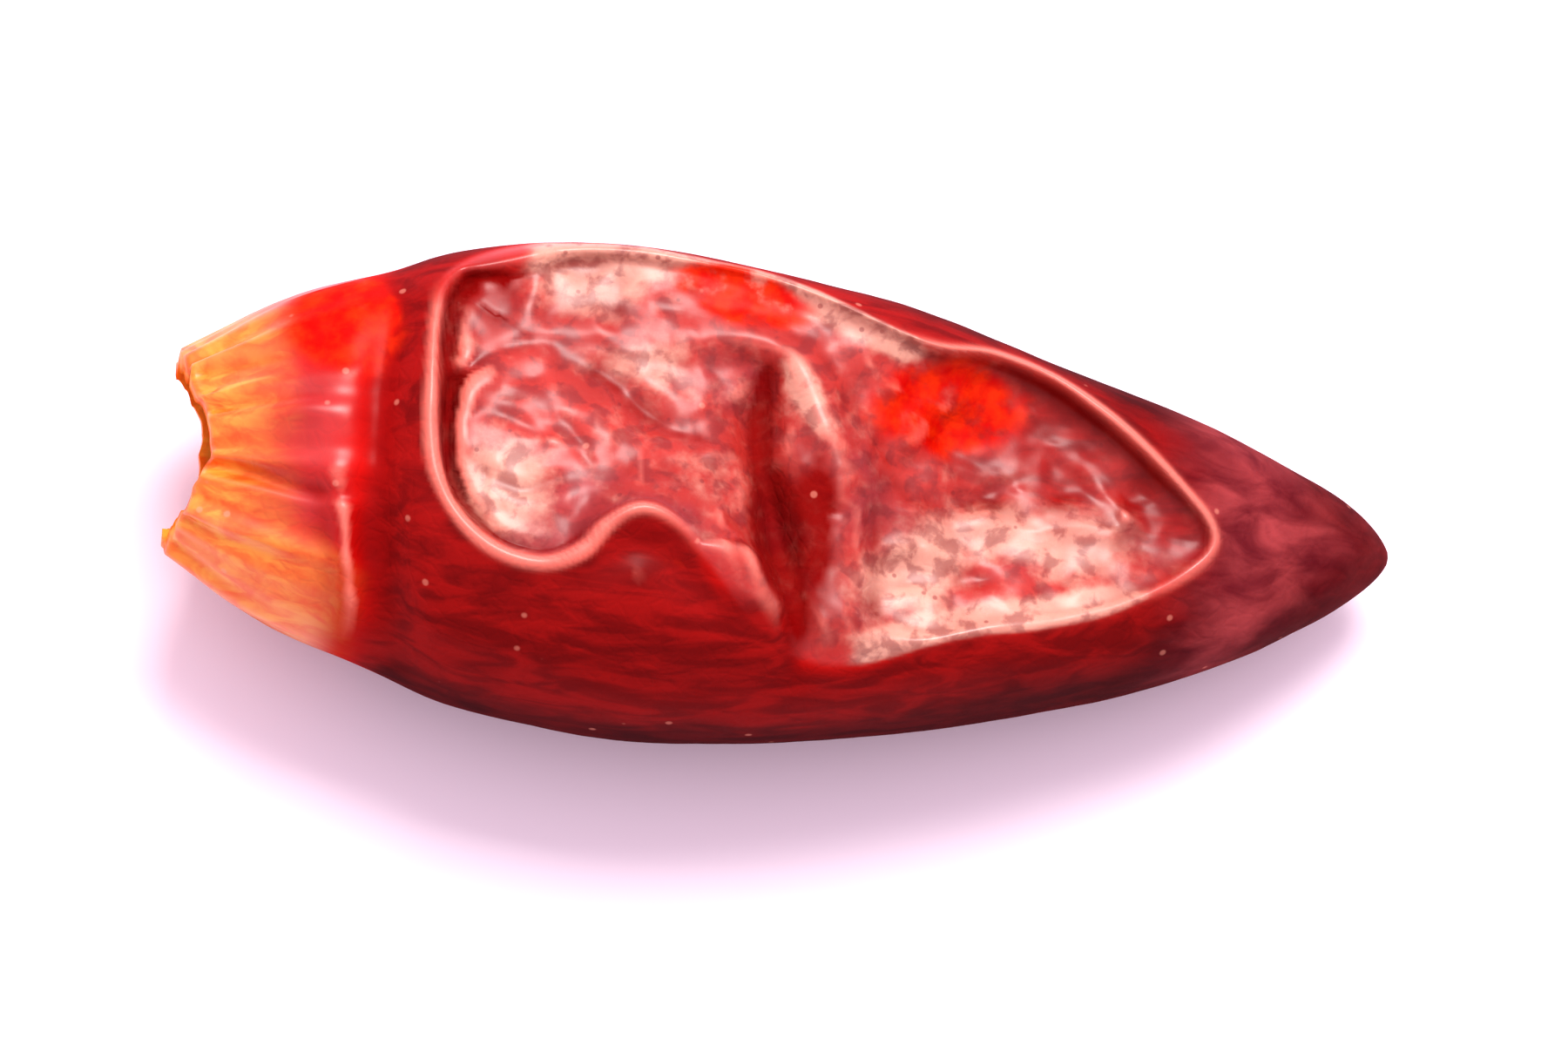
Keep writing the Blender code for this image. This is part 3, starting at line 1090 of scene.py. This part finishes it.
def new_group(name: str, inputs: dict, output: str) -> tuple:
    """Starts a shader node group with one value output.

    Args:
        name: the group's name.
        inputs: default value for each numeric input's name, besides the input Vector.
        output: name of its output.

    Returns:
        A sheet to place its nodes on, the sockets of its inputs, and the socket of its output.
    """
    tree = bpy.data.node_groups.new(name, "ShaderNodeTree")
    tree.interface.new_socket("Vector", in_out="INPUT", socket_type="NodeSocketVector")
    for label, value in inputs.items():
        socket = tree.interface.new_socket(label, in_out="INPUT", socket_type="NodeSocketFloat")
        socket.default_value = value
    tree.interface.new_socket(output, in_out="OUTPUT", socket_type="NodeSocketFloat")
    source, target = tree.nodes.new("NodeGroupInput"), tree.nodes.new("NodeGroupOutput")
    return NodeSheet(tree), source.outputs, target.inputs[output]


def fine_creases() -> bpy.types.NodeTree:
    """Height of the skin's finest wrinkles: thin lines between cells, over a soft grain."""
    sheet, given, height = new_group("fine_creases", {"Size": 1800.0}, "Height")
    wander = sheet.add("TexNoise", Vector=given["Vector"], Scale=900.0, Detail=1.0)
    offset = sheet.vector("MULTIPLY", wander.outputs["Color"], (0.0004, 0.0004, 0.0004))
    moved = sheet.vector("ADD", given["Vector"], offset.outputs[0])
    cells = sheet.add("TexVoronoi", {"feature": "DISTANCE_TO_EDGE"}, Vector=moved.outputs[0])
    sheet.feed(cells.inputs["Scale"], given["Size"])
    lines = sheet.product(sheet.ramp(cells.outputs["Distance"], 0.0, 0.22), 0.6)
    grain = sheet.product(sheet.noise(given["Vector"], 6000.0, 3.0), 0.5)
    sheet.feed(height, sheet.maths("ADD", lines, grain))
    return sheet.tree


def scattered_specks() -> bpy.types.NodeTree:
    """Mask of scattered specks: the cores of those cells of a random scatter that pass a limit."""
    sheet, given, mask = new_group("scattered_specks", {"Size": 1700.0, "Limit": 0.7}, "Mask")
    cells = sheet.add("TexVoronoi", Vector=given["Vector"])
    sheet.feed(cells.inputs["Scale"], given["Size"])
    core = sheet.ramp(cells.outputs["Distance"], 0.16, 0.08)
    chosen = sheet.maths("GREATER_THAN", cells.outputs["Color"], given["Limit"])
    sheet.feed(mask, sheet.product(core, chosen))
    return sheet.tree


@dataclass(frozen=True)
class DriedSkin:
    """Glossy dried chilli skin: red, with flanks darkened by painted shade, a dark tip, and an orange
    collar.
    """

    red: tuple = linear(186, 16, 12)
    painted_sheen_red: tuple = linear(176, 54, 48)
    mauve: tuple = linear(140, 50, 58)
    pale_and_painted_sheen: tuple = linear(212, 154, 136)
    dust: tuple = linear(112, 36, 40)
    deep_red: tuple = linear(112, 3, 5)
    maroon: tuple = linear(84, 8, 11)
    flank_red: tuple = linear(148, 20, 19)
    # painted shade on the underside
    underside_shade_brown: tuple = linear(48, 1, 4)
    tip_brown: tuple = linear(92, 20, 30)
    tip_pale: tuple = linear(166, 70, 72)
    orange: tuple = linear(226, 92, 22)
    straw: tuple = linear(236, 158, 62)
    # painted glow
    glow_red: tuple = linear(184, 9, 4)
    glow_orange: tuple = linear(206, 46, 8)
    painted_crest_highlight: tuple = linear(236, 140, 124)
    pith: tuple = linear(206, 150, 70)
    speck: tuple = linear(226, 150, 130)
    mottle: Pattern = Pattern(520.0, 4.0, 0.4, 0.32, 0.68)
    fine_mottle: Pattern = Pattern(2100.0, 3.0, 0.0, 0.3, 0.7)
    patches: Pattern = Pattern(420.0, 2.0, 0.3, 0.5, 0.66)
    veins: Pattern = Pattern(2200.0, 5.0, 0.3, 0.47, 0.62)
    streaks: Pattern = Pattern(2400.0, 4.0, 0.8, 0.35, 0.65)
    tip_streaks: Pattern = Pattern(1500.0, 5.0, 0.6, 0.25, 0.85)
    glow_flecks: Pattern = Pattern(1900.0, 4.0, 0.0, 0.46, 0.68)
    glow_edge: Pattern = Pattern(1300.0, 5.0, 0.4, 0.68, 1.5)
    pale_sheen_edge: tuple = (0.92, 1.9)
    drawn_out: tuple = (0.25, 1.0, 1.0)  # a shrunk lengthwise part draws a texture out
    roughness: float = 0.32
    roughness_spread: float = 0.16
    index: float = 1.28
    coat_index: float = 1.62
    coat_roughness: float = 0.33
    thin_skin: float = 0.08
    thin_radius: tuple = (1.0, 0.25, 0.12)
    thin_scale: float = 0.0008

    def make(self) -> bpy.types.Material:
        """Builds the material from the pod's zones, with mottling, specks and fine wrinkles."""
        material, sheet, place = new_material("dried_skin")
        drawn = sheet.vector("MULTIPLY", place, self.drawn_out).outputs[0]
        fine_mottle, streaks = self.fine_mottle.mask(sheet, place), self.streaks.mask(sheet, drawn)
        scatter = scattered_specks()
        pits = sheet.add("Group", {"node_tree": scatter}, Vector=place, Size=2300.0, Limit=0.45)
        specks = sheet.add("Group", {"node_tree": scatter}, Vector=place, Size=1700.0, Limit=0.72)
        creases = sheet.add("Group", {"node_tree": fine_creases()}, Vector=place, Size=3200.0)
        sheen, painted_shade = sheet.zone(Zone.SHEEN), sheet.zone(Zone.PAINTED_SHADE)
        mauve = sheet.product(self.patches.mask(sheet, place), sheen)
        dots = sheet.maths("MAXIMUM", pits.outputs[0], self.veins.mask(sheet, place))
        grain = sheet.maths("MAXIMUM", streaks, sheet.product(fine_mottle, 0.5))
        collar = sheet.blend(sheet.product(grain, 0.8), self.orange, self.straw)
        tip = sheet.blend(self.tip_streaks.mask(sheet, drawn), self.tip_brown, self.tip_pale)
        walls = sheet.ramp(sheet.zone(Zone.WALL), 0.0, 0.6)
        glow = sheet.blend(fine_mottle, self.glow_red, self.glow_orange)
        # painted shade darkens the mouth's flesh towards its floor
        flesh = sheet.blend(painted_shade, self.pith, self.deep_red)
        # each layer's place, how strongly it covers what is under it, and its colour
        layers = (
            # painted sheen: a lighter, pinker red on the sunk floors
            (sheen, 1.0, self.painted_sheen_red),
            (mauve, 0.7, self.mauve),
            # pale skin and painted sheen on the sunk floors
            (self.pale_sheen_mask(sheet, place, sheen), 1.0, self.pale_and_painted_sheen),
            (sheet.product(dots, sheen), 0.55, self.dust),
            (self.mottle.mask(sheet, place), 0.3, self.deep_red),
            # painted shade: darker walls, deepest towards the underside
            (walls, 1.0, self.wall_shade_colour(sheet, streaks)),
            # painted shade in creases, furrows and on steep walls
            (painted_shade, 0.8, self.deep_red),
            (sheet.zone(Zone.TIP), 1.0, tip),
            (sheet.zone(Zone.COLLAR), 1.0, collar),
            # painted glow, of light shining through the thin skin
            (self.glow_mask(sheet, place), 1.0, glow),
            # painted highlight on crests and lips
            (sheet.zone(Zone.CREST_HIGHLIGHT), 0.6, self.painted_crest_highlight),
            (sheet.zone(Zone.FLESH), 1.0, flesh),
            (specks.outputs[0], 0.35, self.speck),
        )
        colour = self.red
        for share, strength, over in layers:
            colour = sheet.blend(sheet.product(share, strength), colour, over)
        rough = sheet.maths("MULTIPLY_ADD", fine_mottle, self.roughness_spread, self.roughness)
        bump = sheet.add("Bump", Strength=0.4, Distance=0.00003, Height=creases.outputs[0])
        sheet.set_shader({
            "Base Color": colour,
            "Roughness": rough,
            "Coat Weight": sheet.zone(Zone.GLOSS),
            "Normal": bump.outputs[0],
            "IOR": self.index,
            "Specular IOR Level": 0.0,
            "Coat IOR": self.coat_index,
            "Coat Roughness": self.coat_roughness,
            "Subsurface Weight": self.thin_skin,
            "Subsurface Radius": self.thin_radius,
            "Subsurface Scale": self.thin_scale,
        })
        return material

    def pale_sheen_mask(self, sheet: NodeSheet, place, sheen):
        """Where the sunk skin is pale, partly pale skin and partly painted sheen: grains at two scales,
        raised by the pale zone.
        """
        grains = sheet.maths("ADD", sheet.noise(place, 800.0, 5.0, 0.6), sheet.noise(place, 3000.0, 3.0))
        pale_sheen_level = sheet.maths("ADD", grains, sheet.zone(Zone.PALE))
        return sheet.product(sheet.ramp(pale_sheen_level, *self.pale_sheen_edge), sheen)

    def wall_shade_colour(self, sheet: NodeSheet, streaks):
        """Streaked crimson on the walls, which turns browner towards the underside: painted shade."""
        share = sheet.product(streaks, 0.6)
        upper = sheet.blend(share, self.flank_red, self.maroon)
        under = sheet.blend(share, self.maroon, self.underside_shade_brown)
        return sheet.blend(sheet.ramp(sheet.zone(Zone.WALL), 0.6, 1.0), upper, under)

    def glow_mask(self, sheet: NodeSheet, place):
        """Where the skin glows red, a painted glow, with a ragged edge and dull flecks."""
        edge = self.glow_edge
        ragged = sheet.noise(place, edge.scale, edge.detail, edge.distortion)
        ragged = sheet.maths("ADD", sheet.zone(Zone.GLOW), ragged)
        flecks = sheet.product(self.glow_flecks.mask(sheet, place), 0.7)
        kept = sheet.maths("SUBTRACT", 1.0, flecks)
        return sheet.product(sheet.ramp(ragged, edge.low, edge.high), kept)


@dataclass(frozen=True)
class PaleFloor:
    """A plain pale sheet under the pod."""

    colour: tuple = linear(252, 233, 246)
    shade: tuple = linear(214, 210, 226)
    shade_share: float = 0.03
    shade_scale: float = 120.0
    radius: float = 0.9
    rings: int = 8
    columns: int = 64
    roughness: float = 0.75

    def make(self) -> bpy.types.Object:
        """Makes the floor as a round sheet of rings on the plane that the pod rests on."""
        turn = -np.arange(self.columns) / self.columns * 2 * np.pi
        radii = (np.arange(1, self.rings + 1) / self.rings)[:, None] ** 2 * self.radius
        ring = np.stack([radii * np.cos(turn), radii * np.sin(turn), 0.0 * radii * turn], axis=-1)
        points = np.vstack([np.zeros(3), ring.reshape(-1, 3)])
        floor = mesh_object("floor", points, ring_faces(self.rings, self.columns), {})
        floor.data.materials.append(self.finish())
        return floor

    def finish(self) -> bpy.types.Material:
        """Matt near-white with a barely visible unevenness."""
        material, sheet, place = new_material("pale_floor")
        share = sheet.product(sheet.noise(place, self.shade_scale), self.shade_share)
        colour = sheet.blend(share, self.colour, self.shade)
        sheet.set_shader({"Base Color": colour, "Roughness": self.roughness})
        return material


# Light and camera


@dataclass(frozen=True)
class SoftBox:
    """A square of soft light aimed at the pod."""

    name: str
    place: tuple
    size: tuple
    power: float
    colour: tuple

    def make(self) -> bpy.types.Object:
        """Places the light so that it faces the origin, and hides it from the camera."""
        lamp = bpy.data.lights.new(self.name, "AREA")
        lamp.shape = "RECTANGLE"
        lamp.size, lamp.size_y = self.size
        lamp.energy = self.power
        lamp.color = self.colour
        box = linked(self.name, lamp)
        box.location = self.place
        box.rotation_euler = (-Vector(self.place)).to_track_quat("-Z", "Y").to_euler()
        box.visible_camera = False
        return box


@dataclass(frozen=True)
class Studio:
    """Soft light from above and from +Y, a pale surround, and the overhead camera."""

    boxes: tuple = (
        SoftBox("key_light", (0.02, 0.16, 0.24), (0.14, 0.1), 0.75, (1.0, 0.985, 0.96)),
    )
    sky: tuple = (1.0, 0.89, 0.98)
    sky_side: tuple = (0.0, 0.35, 0.94)
    sky_from: float = 0.3
    sky_to: float = 0.97
    sky_strength: float = 0.6
    low_strength: float = 0.62
    backdrop: tuple = (1.0, 0.99, 1.0)
    lens: float = 400.0
    distance: float = 0.352
    back_tilt: float = 7.5
    side_tilt: float = -4.0
    roll: float = 4.0
    aim: tuple = (0.0, -0.0004, 0.004)

    def light(self) -> None:
        """Makes the lights and the surround."""
        for box in self.boxes:
            box.make()
        world = bpy.data.worlds.new("pale_surround")
        world.use_nodes = True
        sheet = NodeSheet(world.node_tree)
        direction = sheet.add("TexCoord").outputs["Generated"]
        facing = sheet.vector("DOT_PRODUCT", direction, Vector(self.sky_side).normalized())
        share = sheet.ramp(facing.outputs["Value"], self.sky_from, self.sky_to)
        strength = sheet.maths("MULTIPLY_ADD", share, self.sky_strength, self.low_strength)
        sky = sheet.add("Background", Color=(*self.sky, 1.0), Strength=strength)
        backdrop = sheet.add("Background", Color=(*self.backdrop, 1.0), Strength=1.0)
        either = sheet.add("MixShader")
        sheet.feed(either.inputs[0], sheet.add("LightPath").outputs["Is Camera Ray"])
        sheet.feed(either.inputs[1], sky.outputs[0])
        sheet.feed(either.inputs[2], backdrop.outputs[0])
        sheet.feed(world.node_tree.nodes["World Output"].inputs[0], either.outputs[0])
        bpy.context.scene.world = world
        bpy.context.scene.view_settings.view_transform = "Standard"
        bpy.context.scene.view_settings.look = "Medium High Contrast"

    def camera(self) -> bpy.types.Object:
        """Makes the camera, which looks down on the pod and a little from its -Y side.

        Returns:
            The camera's object, set as the scene's camera.
        """
        data = bpy.data.cameras.new("overhead_camera")
        data.lens = self.lens
        data.clip_start, data.clip_end = 0.005, 10.0
        camera = linked("overhead_camera", data)
        tilts = (math.radians(self.side_tilt), -math.radians(self.back_tilt))
        back = Vector((math.sin(tilts[0]), math.sin(tilts[1]), 1.0)).normalized()
        right = Vector((0.0, 1.0, 0.0)).cross(back).normalized()
        upright = Matrix((right, back.cross(right), back)).transposed()
        roll = Matrix.Rotation(math.radians(self.roll), 3, back)
        camera.location = Vector(self.aim) + back * self.distance
        camera.rotation_euler = (roll @ upright).to_euler()
        bpy.context.scene.camera = camera
        return camera


def main() -> None:
    """Builds the pod, its floor, the light and the camera."""
    logging.basicConfig(level=logging.INFO, format="%(name)s: %(message)s")
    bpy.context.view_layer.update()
    low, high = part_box(POD_NODE)
    pod = ChilliPod(length=(high.x - low.x) / MM, width=(high.y - low.y) / MM)
    piece = pod.build(low, high)
    piece.data.materials.append(DriedSkin().make())
    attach(piece, "root")
    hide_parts(POD_NODE)
    LOG.info("%s: %d faces", piece.name, len(piece.data.polygons))
    floor = PaleFloor().make()
    LOG.info("%s: %d faces", floor.name, len(floor.data.polygons))
    studio = Studio()
    studio.light()
    LOG.info("camera: %s", studio.camera().name)


if __name__ == "__main__":
    main()
